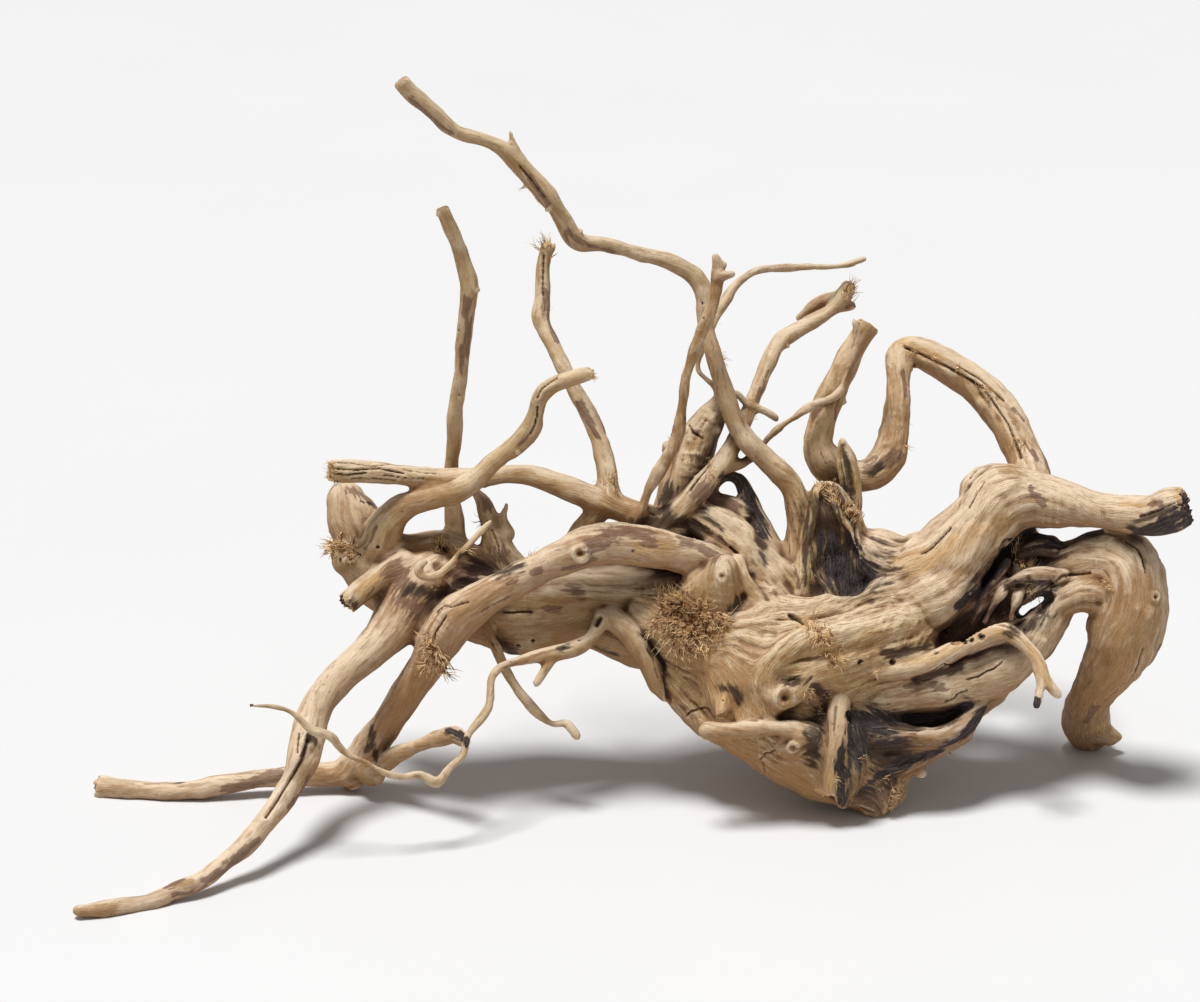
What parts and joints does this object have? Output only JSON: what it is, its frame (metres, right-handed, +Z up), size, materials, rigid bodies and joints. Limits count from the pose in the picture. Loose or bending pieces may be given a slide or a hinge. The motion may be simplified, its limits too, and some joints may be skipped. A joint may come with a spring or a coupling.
{
  "type": "spiderwood root",
  "caption": "Gnarled azalea root crown that rests on its root ends, with long reaching limbs, an arched limb, a hooked arm, stubs, fine roots and torn fibres.",
  "frame": {"origin": "bottom centre of the bounding box, on the level that the root stands on", "axes": "+Z up; +X along the root's length, from its two long left roots to its charred right arm; +Y to the back, away from the picture's viewer"},
  "size_m": [0.6564, 0.3192, 0.435],
  "materials": {
    "wood": "bare weathered root wood, pale tan with brown bark patches, matte"
  },
  "bodies": {
    "root": {"spiderwood_root": "wood"}
  },
  "joints": []
}
